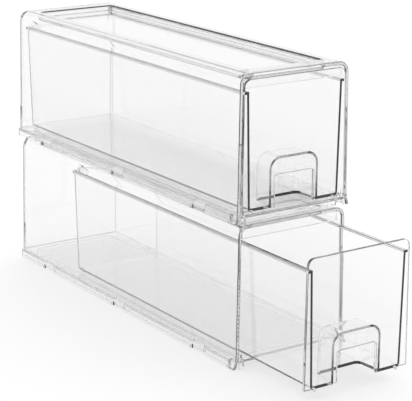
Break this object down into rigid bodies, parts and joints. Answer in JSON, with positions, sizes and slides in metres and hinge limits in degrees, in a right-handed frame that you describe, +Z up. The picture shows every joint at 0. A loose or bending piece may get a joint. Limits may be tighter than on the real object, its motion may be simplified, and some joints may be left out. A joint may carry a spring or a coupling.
{
  "type": "stackable drawer box",
  "caption": "Stacked clear boxes for small items: a hood case snapped onto a base tray, with a sliding drawer that has an arched finger pull.",
  "frame": {"origin": "on the ground, at the middle of the footprint of the stack with the lower drawer open as pictured", "axes": "+Z up, -Y the way the drawers open, +X to the right seen from the front"},
  "size_m": [0.1062, 0.4142, 0.2249],
  "materials": {
    "clear_case": "polished clear moulding",
    "clear_base": "clear moulding, slightly hazy",
    "clear_drawer": "polished clear moulding"
  },
  "bodies": {
    "lower_box": {"lower_base": "clear_base", "lower_housing": "clear_case"},
    "lower_drawer": {"lower_drawer": "clear_drawer"},
    "upper_box": {"upper_base": "clear_base", "upper_housing": "clear_case"},
    "upper_drawer": {"upper_drawer": "clear_drawer"}
  },
  "joints": [
    {"name": "lower_drawer_slide", "type": "slide", "parent": "lower_box", "child": "lower_drawer", "axis": [0, -1, 0], "range_m": [-0.0785, 0.2308]},
    {"name": "upper_box_lift", "type": "slide", "parent": "lower_box", "child": "upper_box", "axis": [0, 0, 1], "range_m": [0, 0.12]},
    {"name": "upper_drawer_slide", "type": "slide", "parent": "upper_box", "child": "upper_drawer", "axis": [0, -1, 0], "range_m": [-0.0008, 0.3085]}
  ]
}
